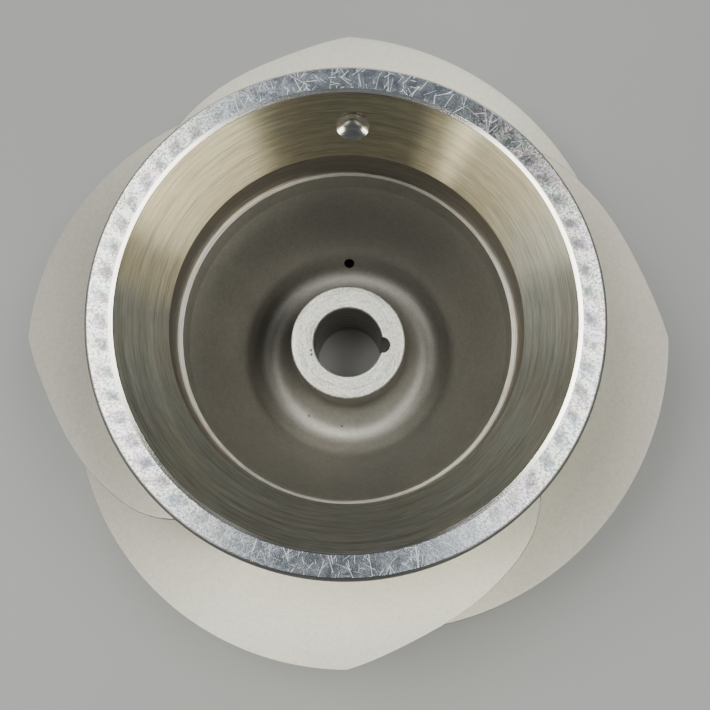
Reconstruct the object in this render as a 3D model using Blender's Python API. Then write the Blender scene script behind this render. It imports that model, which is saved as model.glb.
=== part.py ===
"""Four-bladed mixed-flow impeller, a stainless casting machined at its rim, cone, faces and bore.

Frame: metres, +Z up. The origin is the centre of the nose face, on the axis of rotation. The
outlet side with its wide rim is on top and the inlet side below. Seen from above, the impeller
turns clockwise and every blade winds downwards in the clockwise sense.
"""
import math

import bmesh
import bpy
import numpy as np
from mathutils import Matrix
from mathutils import Vector

# Whole impeller
HEIGHT = 0.112
RIM_RADIUS = 0.0911
SKIN_RADIUS = 0.0900
NOSE_RADIUS = 0.042
HUB_CURVE = 1.45
BLADE_COUNT = 4
CLEARANCE = 0.0003

# Rim and the bowl behind it: each depth is measured down from the rim face
RIM_EDGE_WIDTH = 0.00125
RIM_EDGE_DEPTH = 0.0025
RIM_LIP_DEPTH = 0.0055
MOUTH_RADIUS = 0.0808
MOUTH_CHAMFER_WIDTH = 0.0014
MOUTH_CHAMFER_DEPTH = 0.0005
CONE_END_RADIUS = 0.0656
CONE_DEPTH = 0.0238
RELIEF_DEPTH = 0.0412
LEDGE_INNER_RADIUS = 0.0639
LEDGE_DEPTH = 0.0432
CAVITY_TOP_RADIUS = 0.0634
CAVITY_TOP_DEPTH = 0.0555
POCKET_DEPTH = 0.1010
POCKET_ROUND = 0.0110
POCKET_STEPS = 9

# Shaft boss, a sleeve from the nose face up into the pocket
BOSS_RADIUS = 0.0230
BOSS_TOP_DEPTH = 0.0615
BOSS_EDGE = 0.0008
BORE_RADIUS = 0.0140
BORE_CHAMFER = 0.0004
KEY_NOTCH_RADIUS = 0.0033
KEY_NOTCH_ANGLE = -5.0
NOSE_EDGE = 0.0015

# Drilled spots in the hub
BALANCE_SPOT_RADIUS = 0.0062
BALANCE_SPOT_ANGLE = 88.1
BALANCE_SPOT_SHARE = 0.52
DRILL_POINT_ANGLE = 118.0
DRAIN_RADIUS = 0.0023
DRAIN_DEPTH = 0.0012
DRAIN_ANGLE = 90.0
DRAIN_LEAN = 46.5

# Blade edges in degrees clockwise from the blade's outer corner, seen from above
TRAILING_EDGE_ANGLES = (-52.3, -47.5, -40.0, -28.0, -14.0, 0.0)
TRAILING_EDGE_RADII = (0.0886, 0.0962, 0.1037, 0.1105, 0.1175, 0.1274)
TRAILING_EDGE_DEPTHS = (0.0264, 0.0282, 0.0310, 0.0364, 0.0439, 0.0525)
TIP_WRAP = 102.0
TIP_RADII = (0.1274, 0.1298, 0.1216, 0.1157)
TIP_DEPTHS = (0.0525, 0.0684, 0.0854, 0.1026)
ROOT_END_ANGLE = 98.0
ROOT_END_DEPTH = 0.1020
ROOT_THICKNESS = 0.0060
TIP_THICKNESS = 0.0040
TRAILING_EDGE_THICKNESS = 0.0012
LEADING_EDGE_THICKNESS = 0.0020
THICKNESS_FALL = 5

# Fineness of the meshes
HUB_SEGMENTS = 72
BOSS_SEGMENTS = 48
DRILL_SEGMENTS = 24
NOTCH_SEGMENTS = 20
HUB_RINGS = 16
BLADE_CHORD_STEPS = 32
BLADE_SPAN_STEPS = 9
SHARP_ANGLE = math.radians(30.0)
SEAM_MERGE = 0.000001
DIRECTION_STEP = 0.002


def clear_scene():
    for old in list(bpy.data.objects):
        bpy.data.objects.remove(old, do_unlink=True)


def steel(name, colour, roughness, metallic=1.0):
    """A steel finish as a Principled material."""
    material = bpy.data.materials.new(name)
    material.use_nodes = True
    shader = material.node_tree.nodes["Principled BSDF"]
    shader.inputs["Base Color"].default_value = (*colour, 1.0)
    shader.inputs["Roughness"].default_value = roughness
    shader.inputs["Metallic"].default_value = metallic
    return material


def hub_radius(height):
    """Radius of the hub's outer skin, an S-curve from under the rim in to the nose."""
    depth_share = min(max((HEIGHT - height) / HEIGHT, 0.0), 1.0)
    swell = 0.5 + 0.5 * math.cos(math.pi * depth_share ** HUB_CURVE)
    return NOSE_RADIUS + (SKIN_RADIUS - NOSE_RADIUS) * swell


def bezier(values, share):
    """A cubic Bezier curve's value, from its four control values."""
    rest = 1.0 - share
    return (values[0] * rest ** 3 + 3.0 * values[1] * rest ** 2 * share
            + 3.0 * values[2] * rest * share ** 2 + values[3] * share ** 3)


def smooth_value(stations, values, at):
    """Value at one station of the smooth curve that passes through all the given points."""
    slopes = np.gradient(values, stations)
    last = len(stations) - 2
    first = min(max(int(np.searchsorted(stations, at)) - 1, 0), last)
    span = stations[first + 1] - stations[first]
    share = (at - stations[first]) / span
    turn = share * share * (3.0 - 2.0 * share)
    lead_in = share * (1.0 - share) ** 2 * slopes[first] * span
    lead_out = share * share * (1.0 - share) * slopes[first + 1] * span
    return values[first] * (1.0 - turn) + values[first + 1] * turn + lead_in - lead_out


def finish_object(name, bm, material):
    """Turn a bmesh into a named object with its material and its smooth round faces."""
    bmesh.ops.recalc_face_normals(bm, faces=bm.faces[:])
    mesh = bpy.data.meshes.new(name)
    bm.to_mesh(mesh)
    bm.free()
    mesh.materials.append(material)
    mesh.shade_smooth()
    mesh.set_sharp_from_angle(angle=SHARP_ANGLE)
    part = bpy.data.objects.new(name, mesh)
    bpy.context.collection.objects.link(part)
    return part


def turned(profile, segments):
    """A closed ring turned about the axis from a closed outline of (radius, height) points."""
    bm = bmesh.new()
    corners = [bm.verts.new((radius, 0.0, height)) for radius, height in profile]
    sides = [bm.edges.new((corner, corners[(index + 1) % len(corners)]))
             for index, corner in enumerate(corners)]
    bmesh.ops.spin(bm, geom=corners + sides, cent=(0.0, 0.0, 0.0), axis=(0.0, 0.0, 1.0),
                   angle=2.0 * math.pi, steps=segments, use_merge=True, use_duplicate=False)
    bmesh.ops.remove_doubles(bm, verts=bm.verts[:], dist=SEAM_MERGE)
    return bm


def pocket_arc():
    """The round floor of the pocket, from the boss out to where it meets the cavity wall.

    The result is a list of (radius, depth) points on one arc. It ends where the straight
    cavity wall, drawn from its top edge, touches the arc.
    """
    centre_radius = BOSS_RADIUS + CLEARANCE + POCKET_ROUND
    centre_depth = POCKET_DEPTH - POCKET_ROUND
    to_top = (CAVITY_TOP_RADIUS - centre_radius, CAVITY_TOP_DEPTH - centre_depth)
    touch = math.atan2(to_top[1], to_top[0]) + math.acos(POCKET_ROUND / math.hypot(*to_top))
    points = []
    for step in range(POCKET_STEPS + 1):
        turn = math.pi + (touch - math.pi) * step / POCKET_STEPS
        points.append((centre_radius + POCKET_ROUND * math.cos(turn),
                       centre_depth + POCKET_ROUND * math.sin(turn)))
    return points


def hub_outline():
    """Outline of the hub: over the rim's lip, down the skin, across the nose, up the bowl."""
    outline = [(RIM_RADIUS - RIM_EDGE_WIDTH, HEIGHT), (RIM_RADIUS, HEIGHT - RIM_EDGE_DEPTH)]
    skin_top = HEIGHT - RIM_LIP_DEPTH
    for ring in range(HUB_RINGS + 1):
        height = skin_top + (NOSE_EDGE - skin_top) * ring / HUB_RINGS
        outline.append((hub_radius(height), height))
    outline.append((NOSE_RADIUS - NOSE_EDGE, 0.0))
    outline.append((BOSS_RADIUS + CLEARANCE, 0.0))
    bowl = pocket_arc() + [
        (CAVITY_TOP_RADIUS, CAVITY_TOP_DEPTH),
        (LEDGE_INNER_RADIUS, LEDGE_DEPTH),
        (CONE_END_RADIUS, RELIEF_DEPTH),
        (CONE_END_RADIUS, CONE_DEPTH),
        (MOUTH_RADIUS, MOUTH_CHAMFER_DEPTH),
        (MOUTH_RADIUS + MOUTH_CHAMFER_WIDTH, 0.0),
    ]
    outline.extend((radius, HEIGHT - depth) for radius, depth in bowl)
    return outline


def closed_mesh_object(name, bm):
    """A cutter made from a bmesh, shown as wire and left out of renders."""
    mesh = bpy.data.meshes.new(name)
    bm.to_mesh(mesh)
    bm.free()
    cutter = bpy.data.objects.new(name, mesh)
    bpy.context.collection.objects.link(cutter)
    cutter.hide_render = True
    cutter.display_type = "WIRE"
    return cutter


def drill(name, radius, depth, mouth, inward):
    """A drill cutter with a pointed end, entering at a point along a direction."""
    tip = depth + radius / math.tan(math.radians(DRILL_POINT_ANGLE / 2.0))
    half = (
        (0.0, 2.0 * radius),
        (radius, 2.0 * radius),
        (radius, -depth),
        (0.0, -tip),
    )
    bm = bmesh.new()
    corners = [bm.verts.new((across, 0.0, along)) for across, along in half]
    sides = [bm.edges.new(pair) for pair in zip(corners[:-1], corners[1:])]
    bmesh.ops.spin(bm, geom=corners + sides, cent=(0.0, 0.0, 0.0), axis=(0.0, 0.0, 1.0),
                   angle=2.0 * math.pi, steps=DRILL_SEGMENTS, use_merge=True,
                   use_duplicate=False)
    bmesh.ops.remove_doubles(bm, verts=bm.verts[:], dist=SEAM_MERGE)
    bmesh.ops.recalc_face_normals(bm, faces=bm.faces[:])
    cutter = closed_mesh_object(name, bm)
    turn = Vector((0.0, 0.0, -1.0)).rotation_difference(inward).to_matrix().to_4x4()
    cutter.matrix_world = Matrix.Translation(mouth) @ turn
    return cutter


def cut(part, cutter):
    """Take the cutter's shape away from a part."""
    modifier = part.modifiers.new(cutter.name, "BOOLEAN")
    modifier.operation = "DIFFERENCE"
    modifier.solver = "EXACT"
    modifier.object = cutter


def point_on_bowl(angle, share, top, bottom):
    """A point on a conical stretch of the bowl and the direction that goes straight into it."""
    radius = top[0] + (bottom[0] - top[0]) * share
    height = HEIGHT - (top[1] + (bottom[1] - top[1]) * share)
    fall = Vector((bottom[0] - top[0], 0.0, top[1] - bottom[1])).normalized()
    inward = Vector((-fall.z, 0.0, fall.x))
    turn = Matrix.Rotation(math.radians(angle), 3, "Z")
    return turn @ Vector((radius, 0.0, height)), turn @ inward


def point_on_pocket(angle, lean):
    """A point on the pocket's round floor and the direction that goes straight into it.

    lean is in degrees, from level at the outer side to straight down at the lowest ring.
    """
    lean = math.radians(lean)
    inward = Vector((math.cos(lean), 0.0, -math.sin(lean)))
    centre = Vector((BOSS_RADIUS + CLEARANCE + POCKET_ROUND, 0.0,
                     HEIGHT - POCKET_DEPTH + POCKET_ROUND))
    turn = Matrix.Rotation(math.radians(angle), 3, "Z")
    return turn @ (centre + inward * POCKET_ROUND), turn @ inward


def make_hub_shell(material):
    """The hub: machined rim, cone and relief, ledge, cast cavity, pocket, web and nose."""
    bm = turned(hub_outline(), HUB_SEGMENTS)
    hub = finish_object("hub_shell", bm, material)
    cone_top = (MOUTH_RADIUS, 0.0)
    cone_end = (CONE_END_RADIUS, CONE_DEPTH)
    mouth, inward = point_on_bowl(BALANCE_SPOT_ANGLE, BALANCE_SPOT_SHARE, cone_top, cone_end)
    cut(hub, drill("balance_drill", BALANCE_SPOT_RADIUS, 0.0, mouth, inward))
    mouth, inward = point_on_pocket(DRAIN_ANGLE, DRAIN_LEAN)
    cut(hub, drill("drain_drill", DRAIN_RADIUS, DRAIN_DEPTH, mouth, inward))
    return hub


def make_shaft_boss(material):
    """The sleeve round the shaft, with its bore and a half-round key notch along the bore."""
    top = HEIGHT - BOSS_TOP_DEPTH
    outline = (
        (BORE_RADIUS + BORE_CHAMFER, 0.0),
        (BOSS_RADIUS, 0.0),
        (BOSS_RADIUS, top - BOSS_EDGE),
        (BOSS_RADIUS - BOSS_EDGE, top),
        (BORE_RADIUS + BORE_CHAMFER, top),
        (BORE_RADIUS, top - BORE_CHAMFER),
        (BORE_RADIUS, BORE_CHAMFER),
    )
    boss = finish_object("shaft_boss", turned(outline, BOSS_SEGMENTS), material)
    notch_turn = Matrix.Rotation(math.radians(KEY_NOTCH_ANGLE), 4, "Z")
    notch_place = notch_turn @ Matrix.Translation((BORE_RADIUS, 0.0, top / 2.0))
    bm = bmesh.new()
    bmesh.ops.create_cone(bm, cap_ends=True, segments=NOTCH_SEGMENTS, radius1=KEY_NOTCH_RADIUS,
                          radius2=KEY_NOTCH_RADIUS, depth=2.0 * top, matrix=notch_place)
    cut(boss, closed_mesh_object("key_notch_cutter", bm))
    return boss


def blade_face_point(along, across):
    """A point on a blade's upper face.

    along runs from the trailing edge to the leading edge, across from the root to the tip.
    The result is degrees clockwise, radius and height.
    """
    spans = [(radius - TRAILING_EDGE_RADII[0]) / (TRAILING_EDGE_RADII[-1] - TRAILING_EDGE_RADII[0])
             for radius in TRAILING_EDGE_RADII]
    edge_angle = smooth_value(spans, TRAILING_EDGE_ANGLES, across)
    edge_depth = smooth_value(spans, TRAILING_EDGE_DEPTHS, across)
    lead_angle = ROOT_END_ANGLE + (TIP_WRAP - ROOT_END_ANGLE) * across
    angle = edge_angle + (lead_angle - edge_angle) * along

    root_depth = TRAILING_EDGE_DEPTHS[0] + (ROOT_END_DEPTH - TRAILING_EDGE_DEPTHS[0]) * along
    tip_depth = bezier(TIP_DEPTHS, along)
    straight = TRAILING_EDGE_DEPTHS[0] * (1.0 - across) + TRAILING_EDGE_DEPTHS[-1] * across
    bow = (edge_depth - straight) * (1.0 - along) ** 2
    height = HEIGHT - (root_depth * (1.0 - across) + tip_depth * across + bow)

    root_radius = hub_radius(HEIGHT - root_depth) + CLEARANCE
    tip_radius = bezier(TIP_RADII, along)
    radius = root_radius + (tip_radius - root_radius) * across
    return angle, radius, height


def blade_vector(along, across, start):
    """The same point as a vector, for a blade whose outer corner is at the start angle."""
    angle, radius, height = blade_face_point(along, across)
    turn = math.radians(start - angle)
    return Vector((radius * math.cos(turn), radius * math.sin(turn), height))


def blade_thickness(along, across):
    """Thickness: full in the middle of the chord and thin at the two edges."""
    full = ROOT_THICKNESS + (TIP_THICKNESS - ROOT_THICKNESS) * across
    edge = TRAILING_EDGE_THICKNESS + (LEADING_EDGE_THICKNESS - TRAILING_EDGE_THICKNESS) * along
    plump = 1.0 - abs(2.0 * along - 1.0) ** THICKNESS_FALL
    return edge + (full - edge) * plump


def seat_on_hub(point):
    """Move a root point along its radius until it stands just clear of the hub's skin."""
    reach = (hub_radius(point.z) + CLEARANCE) / math.hypot(point.x, point.y)
    return Vector((point.x * reach, point.y * reach, point.z))


def blade_points(along, across, start):
    """The upper and the lower point of a blade at one place."""
    upper = blade_vector(along, across, start)
    chord = (blade_vector(min(along + DIRECTION_STEP, 1.0), across, start)
             - blade_vector(max(along - DIRECTION_STEP, 0.0), across, start))
    span = (blade_vector(along, min(across + DIRECTION_STEP, 1.0), start)
            - blade_vector(along, max(across - DIRECTION_STEP, 0.0), start))
    normal = chord.cross(span).normalized()
    if normal.z < 0.0:
        normal.negate()
    lower = upper - normal * blade_thickness(along, across)
    if across == 0.0:
        upper = seat_on_hub(upper)
        lower = seat_on_hub(lower)
    if across == 1.0:
        reach = min(1.0, math.hypot(upper.x, upper.y) / math.hypot(lower.x, lower.y))
        lower = Vector((lower.x * reach, lower.y * reach, lower.z))
    return upper, lower


def make_blade(name, start, material):
    """One blade as a closed skin: upper face, lower face and the strip that joins them."""
    bm = bmesh.new()
    upper = {}
    lower = {}
    for row in range(BLADE_CHORD_STEPS + 1):
        for column in range(BLADE_SPAN_STEPS + 1):
            top, bottom = blade_points(row / BLADE_CHORD_STEPS, column / BLADE_SPAN_STEPS, start)
            upper[row, column] = bm.verts.new(top)
            lower[row, column] = bm.verts.new(bottom)
    for row in range(BLADE_CHORD_STEPS):
        for column in range(BLADE_SPAN_STEPS):
            cell = ((row, column), (row + 1, column), (row + 1, column + 1), (row, column + 1))
            bm.faces.new([upper[place] for place in cell])
            bm.faces.new([lower[place] for place in reversed(cell)])
    border = [(row, 0) for row in range(BLADE_CHORD_STEPS)]
    border += [(BLADE_CHORD_STEPS, column) for column in range(BLADE_SPAN_STEPS)]
    border += [(row, BLADE_SPAN_STEPS) for row in range(BLADE_CHORD_STEPS, 0, -1)]
    border += [(0, column) for column in range(BLADE_SPAN_STEPS, 0, -1)]
    for place, following in zip(border, border[1:] + border[:1]):
        bm.faces.new((upper[following], upper[place], lower[place], lower[following]))
    bmesh.ops.triangulate(bm, faces=bm.faces[:])
    return finish_object(name, bm, material)


def main():
    clear_scene()
    machined = steel("machined_steel", (0.62, 0.60, 0.54), 0.22)
    faced = steel("faced_boss_steel", (0.72, 0.72, 0.70), 0.35)
    blasted = steel("blasted_cast_steel", (0.52, 0.51, 0.48), 0.45)
    make_hub_shell(machined)
    make_shaft_boss(faced)
    for number in range(BLADE_COUNT):
        start = -360.0 * number / BLADE_COUNT
        make_blade(f"blade_{number + 1}", start, blasted)


main()
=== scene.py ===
import math

import bpy
from mathutils import Matrix, Vector


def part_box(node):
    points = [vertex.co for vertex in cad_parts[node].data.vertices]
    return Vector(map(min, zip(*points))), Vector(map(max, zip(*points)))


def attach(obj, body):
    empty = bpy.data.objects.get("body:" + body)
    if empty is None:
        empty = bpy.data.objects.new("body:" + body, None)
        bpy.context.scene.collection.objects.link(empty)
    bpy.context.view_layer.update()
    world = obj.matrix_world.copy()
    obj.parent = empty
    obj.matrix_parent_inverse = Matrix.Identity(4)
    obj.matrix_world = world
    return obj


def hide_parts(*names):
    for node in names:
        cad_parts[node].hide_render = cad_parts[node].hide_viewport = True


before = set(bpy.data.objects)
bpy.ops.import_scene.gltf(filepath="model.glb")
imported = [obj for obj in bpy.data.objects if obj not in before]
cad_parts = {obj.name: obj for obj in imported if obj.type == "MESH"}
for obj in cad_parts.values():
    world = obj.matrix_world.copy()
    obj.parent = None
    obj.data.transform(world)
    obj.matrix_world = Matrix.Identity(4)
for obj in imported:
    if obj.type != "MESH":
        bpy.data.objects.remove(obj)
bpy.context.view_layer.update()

# Sizes that the solids also have, to 0.3 mm, in metres and degrees. Depths are measured down
# from the rim.
HUB_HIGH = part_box("hub_shell")[1]
BOSS_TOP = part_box("shaft_boss")[1].z
RIM_Z = HUB_HIGH.z
RIM_RADIUS = HUB_HIGH.x
NOSE_Z = 0.0
SKIN_RADIUS = 0.0900
NOSE_RADIUS = 0.042
HUB_CURVE = 1.45
RIM_EDGE_WIDTH = 0.00125
RIM_EDGE_DEPTH = 0.0025
RIM_LIP_DEPTH = 0.0055
RIM_FACE_INNER = 0.0822
MOUTH_RADIUS = 0.0808
MOUTH_DEPTH = 0.0005
CONE_END_RADIUS = 0.0656
CONE_DEPTH = 0.0238
LEDGE_INNER_RADIUS = 0.0639
LEDGE_DEPTH = 0.0430
CAVITY_TOP_RADIUS = 0.0634
CAVITY_TOP_DEPTH = 0.0555
POCKET_DEPTH = 0.1010
POCKET_ROUND = 0.0110
NOSE_EDGE = 0.0015
BOSS_RADIUS = 0.0232
BOSS_EDGE = 0.0005
BORE_RADIUS = 0.0140
BORE_EDGE = 0.0005
KEY_NOTCH_RADIUS = 0.0033
KEY_NOTCH_ANGLE = -5.0
BALANCE_SPOT_RADIUS = 0.0062
BALANCE_SPOT_ANGLE = 88.1
BALANCE_SPOT_SHARE = 0.52
DRILL_POINT_ANGLE = 118.0
DRAIN_RADIUS = 0.0023
DRAIN_DEPTH = 0.0012
DRAIN_ANGLE = 90.0
DRAIN_LEAN = 46.5

# Where each blade's outer corner stands, in degrees anticlockwise from the right
BLADE_STARTS = {"blade_1": 0.0, "blade_2": -90.0, "blade_3": -180.0, "blade_4": -270.0}

# A blade's edges, with angles in degrees clockwise from its outer corner, seen from above
TRAILING_EDGE_ANGLES = (-52.3, -47.5, -40.0, -28.0, -14.0, 0.0)
TRAILING_EDGE_RADII = (0.0886, 0.0962, 0.1037, 0.1105, 0.1175, 0.1274)
TRAILING_EDGE_DEPTHS = (0.0264, 0.0282, 0.0310, 0.0364, 0.0439, 0.0525)
TIP_WRAP = 102.0
TIP_RADII = (0.1274, 0.1298, 0.1216, 0.1157)
TIP_DEPTHS = (0.0525, 0.0684, 0.0854, 0.1026)
ROOT_END_ANGLE = 98.0
ROOT_END_DEPTH = 0.1020
ROOT_THICKNESS = 0.0060
TIP_THICKNESS = 0.0040
TRAILING_EDGE_THICKNESS = 0.0012
LEADING_EDGE_THICKNESS = 0.0020
THICKNESS_FALL = 5

# Details that only the finished surface has
EDGE_BREAK = 0.00025
# Width of the painted shade line under the mouth chamfer
MOUTH_SHADE_LINE = 0.0004
LEDGE_FILLET_WIDTH = 0.0006
LEDGE_FILLET_HEIGHT = 0.0013
FACE_PITS = ((-0.0150, -0.0033, BOSS_TOP), (-0.0148, -0.0051, BOSS_TOP))
FLOOR_PITS = ((-0.0178, -0.0267, RIM_Z - 0.1005), (-0.0032, -0.0311, RIM_Z - 0.1009))
PIT_SIZE = 0.0007
TIP_EDGE_ROUND = 0.0006
ROOT_FILLET = 0.0050
ROOT_FOOT = 0.0042
FILLET_SINK = 0.0004
FOOT_SINK = 0.0008
MIDDLE_SINK = 0.0012
EDGE_ROUND_SHARE = 0.006

# How finely the pieces are divided
LATHE_SEGMENTS = 240
BOSS_SEGMENTS = 144
DRILL_SEGMENTS = 96
NOTCH_SEGMENTS = 48
RIM_STEPS = 3
SKIN_STEPS = 48
ROUND_STEPS = 9
WALL_STEPS = 4
POCKET_STEPS = 30
CAVITY_STEPS = 24
COUNTERBORE_STEPS = 6
CONE_STEPS = 18
BOSS_WALL_STEPS = 12
BORE_STEPS = 10
CHORD_STEPS = 96
SPAN_STEPS = 22
FILLET_STEPS = 6
EDGE_STEPS = 4
LATHE_SMOOTH_ANGLE = math.radians(14.0)
BLADE_SMOOTH_ANGLE = math.radians(28.0)
MERGE = 1e-6
ON_CORNER = MERGE * 20

# How a face's zone is told: by the upward part of its normal, for the nose by the square of the
# sideways part, and by small distances
LEVEL = 0.999
SHINE_LEAN = 0.6
FACE_LEAN = 0.3
BEVEL_LEAN = 0.95
NOSE_LEAN = 0.02
RIM_MARGIN = 0.0001
SKIN_MARGIN = 0.0008

# Marks on the rim. A layer of scratches has its cells in a metre, half its width, its longest
# half length and its seed. Those that cross the rim also have their spread in radians.
CROSSING_SCRATCHES = ((70.0, 0.00011, 0.0100, 0.31, 1.1), (95.0, 0.00010, 0.0090, 0.57, 1.7),
                      (130.0, 0.00008, 0.0080, 0.95, 1.4))
STRAY_SCRATCHES = (110.0, 0.00009, 0.0080, 0.83)
FAINT_SCRATCHES = ((190.0, 0.00007, 0.0050, 0.12), (240.0, 0.00007, 0.0040, 0.71),
                   (380.0, 0.00006, 0.0026, 0.44))
CHATTER_PATCHES = 61.0
CHATTER_SLANT = 300.0
CHATTER_WANDER = 5.0
CHATTER_INNER = (0.0818, 0.0836)
CHATTER_OUTER = (0.0850, 0.0896)
CHATTER_COLOUR = (0.09, 0.10, 0.115)
SCRATCH_COLOUR = (0.95, 0.95, 0.94)
RAINBOW = ((0.34, (0.52, 0.60, 0.66)), (0.42, (0.56, 0.65, 0.58)), (0.50, (0.64, 0.63, 0.56)),
           (0.57, (0.68, 0.58, 0.56)), (0.65, (0.60, 0.57, 0.67)))

# Where the cone's painted light, painted highlight and golden tint come in and go out, and where
# its painted shade lies, in radians anticlockwise from the right
LIT_BACK_START = (0.86, 1.00)
GOLDEN_START = (0.25, 0.75)
LIT_BACK_END = (2.90, 3.12)
HIGHLIGHT_START = (0.90, 1.02)
HIGHLIGHT_END = (1.14, 1.24)
SHADE_ANGLE = -0.30
SHADE_REACH = 0.36

# Depths between which the painted shade inside the bowl deepens, and between which the floor's
# painted light comes in
WALL_SHADE_DEPTHS = (0.090, 0.055)
FLOOR_LIGHT_DEPTHS = (0.100, 0.090)

# Colours of single marks
PIT_COLOUR = (0.10, 0.09, 0.08)
FACE_PIT_COLOUR = (0.16, 0.15, 0.13)
BRIGHT_SPECK_COLOUR = (0.95, 0.94, 0.88)
PALE_SPECK_COLOUR = (0.92, 0.90, 0.84)

# The photograph's camera, measured from the centre of the rim face
IMAGE_PX = 710
FOCAL_PX = 1000.0
SENSOR_MM = 36.0
CAMERA_FROM_RIM = Vector((0.00614, -0.06551, 0.33985))
CAMERA_RIGHT = Vector((0.99997, 0.0, -0.00814))
CAMERA_UP = Vector((0.00121, 0.98895, 0.14824))

# The studio. A softbox has its centre, its size, its tilt and turn in degrees, its glow and its
# colour.
FLOOR_SIZE = 6.0
FLOOR_COLOUR = (0.44, 0.45, 0.46, 1.0)
FLOOR_ROUGHNESS = 0.8
ROOM_COLOUR = (0.090, 0.100, 0.108, 1.0)
LAMP_COLOUR = (1.0, 0.985, 0.93)
WARM_LAMP_COLOUR = (1.0, 0.96, 0.84)
SOFTBOXES = {
    "left_overhead": ((-0.52, 0.17, 1.112), (0.58, 0.62), 0.0, 0.0, 7.0, LAMP_COLOUR),
    "right_overhead": ((0.43, 0.08, 1.112), (0.48, 0.52), 0.0, -16.0, 5.6, LAMP_COLOUR),
    "back_overhead": ((0.0, 1.15, 1.06), (1.50, 0.70), -42.0, 0.0, 0.8, LAMP_COLOUR),
    "left_front": ((-1.32, -0.70, 0.36), (1.40, 0.50), 86.0, -62.0, 7.6, WARM_LAMP_COLOUR),
    "right_front": ((1.20, -0.90, 0.44), (1.30, 0.66), 84.0, 53.0, 6.2, WARM_LAMP_COLOUR),
}


def deselect():
    """Leave no object selected."""
    bpy.ops.object.select_all(action="DESELECT")


def pick(piece):
    """Make one object the only selected and active one."""
    deselect()
    piece.select_set(True)
    bpy.context.view_layer.objects.active = piece


def edit(piece):
    """Go into edit mode on one object."""
    pick(piece)
    bpy.ops.object.mode_set(mode="EDIT")


def leave_edit():
    """Go back to object mode."""
    bpy.ops.object.mode_set(mode="OBJECT")


def hub_radius(height):
    """Radius of the hub's outer skin, an S-curve from under the rim in to the nose."""
    depth_share = min(max((RIM_Z - height) / RIM_Z, 0.0), 1.0)
    swell = 0.5 + 0.5 * math.cos(math.pi * depth_share ** HUB_CURVE)
    return NOSE_RADIUS + (SKIN_RADIUS - NOSE_RADIUS) * swell


def straight(start, end, steps):
    """Points of a straight stretch after its start, up to its end."""
    return [(start[0] + (end[0] - start[0]) * step / steps,
             start[1] + (end[1] - start[1]) * step / steps) for step in range(1, steps + 1)]


def arc(centre, radius, first, last, steps):
    """Points of an arc after its start, angles in degrees from the radial direction up."""
    points = []
    for step in range(1, steps + 1):
        turn = math.radians(first + (last - first) * step / steps)
        points.append((centre[0] + radius * math.cos(turn), centre[1] + radius * math.sin(turn)))
    return points


def turn_piece(name, outline, segments):
    """Turn a closed ring: a circle at the first corner is extruded and scaled round the outline."""
    radius, height = outline[0]
    deselect()
    bpy.ops.mesh.primitive_circle_add(vertices=segments, radius=radius, fill_type="NOTHING")
    piece = bpy.context.object
    piece.name = name
    edit(piece)
    bpy.ops.mesh.select_all(action="SELECT")
    bpy.ops.transform.translate(value=(0.0, 0.0, height))
    for next_radius, next_height in outline[1:] + outline[:1]:
        bpy.ops.mesh.extrude_edges_move(
            TRANSFORM_OT_translate={"value": (0.0, 0.0, next_height - height)})
        ratio = next_radius / radius
        bpy.ops.transform.resize(value=(ratio, ratio, 1.0), center_override=(0.0, 0.0, next_height))
        radius, height = next_radius, next_height
    bpy.ops.mesh.select_all(action="SELECT")
    bpy.ops.mesh.remove_doubles(threshold=MERGE)
    bpy.ops.mesh.normals_make_consistent(inside=False)
    leave_edit()
    return piece


def break_edges(piece, corners, width):
    """Bevel the sharp rings that pass through the given (radius, height) corners."""
    edit(piece)
    bpy.ops.mesh.select_all(action="DESELECT")
    bpy.ops.mesh.select_mode(type="EDGE")
    leave_edit()
    mesh = piece.data
    for edge in mesh.edges:
        ends = [mesh.vertices[index].co for index in edge.vertices]
        for radius, height in corners:
            if all(abs(end.xy.length - radius) < ON_CORNER and abs(end.z - height) < ON_CORNER
                   for end in ends):
                edge.select = True
    edit(piece)
    bpy.ops.mesh.bevel(offset=width, segments=2, affect="EDGES")
    bpy.ops.mesh.select_all(action="SELECT")
    bpy.ops.mesh.remove_doubles(threshold=MERGE)
    bpy.ops.mesh.select_mode(type="VERT")
    leave_edit()


def cut_away(piece, cutter):
    """Take the cutter's shape out of the piece, keeping the cutter's material on the cut."""
    pick(piece)
    modifier = piece.modifiers.new("cut", "BOOLEAN")
    modifier.operation = "DIFFERENCE"
    modifier.solver = "EXACT"
    modifier.material_mode = "TRANSFER"
    modifier.object = cutter
    bpy.ops.object.modifier_apply(modifier=modifier.name)
    bpy.data.objects.remove(cutter, do_unlink=True)


def paint_zones(piece, materials, zone_of):
    """Give each face the material that zone_of names for its radius, depth and normal."""
    slots = {}
    for index, (zone, material) in enumerate(materials.items()):
        piece.data.materials.append(material)
        slots[zone] = index
    for face in piece.data.polygons:
        zone = zone_of(face.center.xy.length, RIM_Z - face.center.z, face.normal)
        face.material_index = slots[zone]


def smooth(piece, angle):
    """Shade a piece smooth except across edges sharper than the angle."""
    pick(piece)
    bpy.ops.object.shade_smooth_by_angle(angle=angle)


def dress(piece, node):
    """Settle a finished piece on the body in place of its plain solid."""
    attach(piece, "root")
    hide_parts(node)


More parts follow.
